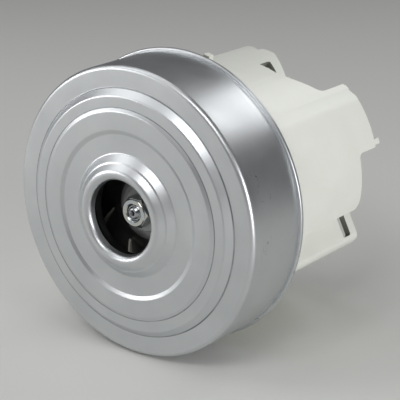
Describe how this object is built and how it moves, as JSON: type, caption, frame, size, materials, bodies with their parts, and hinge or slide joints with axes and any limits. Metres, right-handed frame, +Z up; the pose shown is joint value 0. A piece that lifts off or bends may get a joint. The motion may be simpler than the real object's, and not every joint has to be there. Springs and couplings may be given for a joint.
{
  "type": "vacuum cleaner suction motor",
  "caption": "Suction motor of a vacuum cleaner: stepped round steel fan cover with a rolled inlet collar, impeller behind it, and a brushed motor in a pale moulded barrel.",
  "frame": {"origin": "on the rotor's axis, at the front end of the straight wall of the fan cover's skirt", "axes": "+Y along the rotor's axis from the inlet to the rear, +Z up, +X to the right as seen from the inlet side"},
  "size_m": [0.137, 0.1261, 0.137],
  "materials": {
    "plated_steel": "bright plated, faint drawing lines",
    "seal_plastic": "moulded, satin",
    "fan_aluminium": "bare sheet",
    "blackened_steel": "blackened",
    "zinc_steel": "zinc plated",
    "ground_steel": "ground",
    "diffuser_plastic": "moulded, matt",
    "pressed_steel": "pressed, oiled",
    "moulded_thermoset": "moulded, smooth matt",
    "lamination_steel": "stacked sheets, varnished",
    "insulator_plastic": "moulded",
    "enamelled_copper": "enamelled wire",
    "bare_copper": "turned",
    "phenolic_moulding": "moulded, matt",
    "spring_steel": "drawn wire",
    "sheet_brass": "stamped",
    "carbon": "pressed graphite, dull",
    "bearing_steel": "ground and polished",
    "cage_steel": "pressed"
  },
  "bodies": {
    "motor_frame": {"fan_cover": "plated_steel", "eye_seal_ring": "seal_plastic", "diffuser": "diffuser_plastic", "front_bracket": "pressed_steel", "bracket_screws": "zinc_steel", "front_bearing_outer": "bearing_steel", "front_bearing_shields": "cage_steel", "motor_housing": "moulded_thermoset", "stator_core": "lamination_steel", "pole_insulators": "insulator_plastic", "field_coil_right": "enamelled_copper", "field_coil_left": "enamelled_copper", "stator_screws": "zinc_steel", "rear_bearing_outer": "bearing_steel", "rear_bearing_shields": "cage_steel", "preload_washer": "spring_steel", "upper_brush_holder": "phenolic_moulding", "lower_brush_holder": "phenolic_moulding", "upper_brush_tube": "sheet_brass", "lower_brush_tube": "sheet_brass", "upper_brush_spring": "spring_steel", "lower_brush_spring": "spring_steel", "upper_brush_cap": "sheet_brass", "lower_brush_cap": "sheet_brass", "holder_screws": "zinc_steel", "mains_tabs": "sheet_brass"},
    "rotor": {"impeller_shroud": "fan_aluminium", "impeller_blades": "fan_aluminium", "impeller_back_plate": "fan_aluminium", "clamp_washer": "blackened_steel", "fan_nut": "zinc_steel", "spacer_sleeve": "ground_steel", "rotor_shaft": "ground_steel", "front_bearing_inner": "bearing_steel", "armature_core": "lamination_steel", "armature_winding": "enamelled_copper", "commutator_bars": "bare_copper", "commutator_hub": "phenolic_moulding", "rear_bearing_inner": "bearing_steel"},
    "front_ball_set": {"front_bearing_balls": "bearing_steel", "front_bearing_cage": "cage_steel"},
    "rear_ball_set": {"rear_bearing_balls": "bearing_steel", "rear_bearing_cage": "cage_steel"},
    "upper_brush_body": {"upper_brush": "carbon"},
    "lower_brush_body": {"lower_brush": "carbon"}
  },
  "joints": [
    {"name": "rotor_spin", "type": "hinge", "parent": "motor_frame", "child": "rotor", "pos_m": [0, 0.06, 0], "axis": [0, 1, 0], "continuous": true},
    {"name": "front_balls_spin", "type": "hinge", "parent": "motor_frame", "child": "front_ball_set", "pos_m": [0, 0.0255, 0], "axis": [0, 1, 0], "continuous": true},
    {"name": "rear_balls_spin", "type": "hinge", "parent": "motor_frame", "child": "rear_ball_set", "pos_m": [0, 0.1067, 0], "axis": [0, 1, 0], "continuous": true},
    {"name": "upper_brush_slide", "type": "slide", "parent": "motor_frame", "child": "upper_brush_body", "axis": [0, 0, 1], "range_m": [0, 0.005], "stiffness_N_per_m": 300, "springref_m": -0.004, "deforming": ["upper_brush_spring"]},
    {"name": "lower_brush_slide", "type": "slide", "parent": "motor_frame", "child": "lower_brush_body", "axis": [0, 0, -1], "range_m": [0, 0.005], "stiffness_N_per_m": 300, "springref_m": -0.004, "deforming": ["lower_brush_spring"]}
  ],
  "couplings": [
    {"joint": "front_balls_spin", "follows": "rotor_spin", "ratio": 0.3677},
    {"joint": "rear_balls_spin", "follows": "rotor_spin", "ratio": 0.3677}
  ]
}
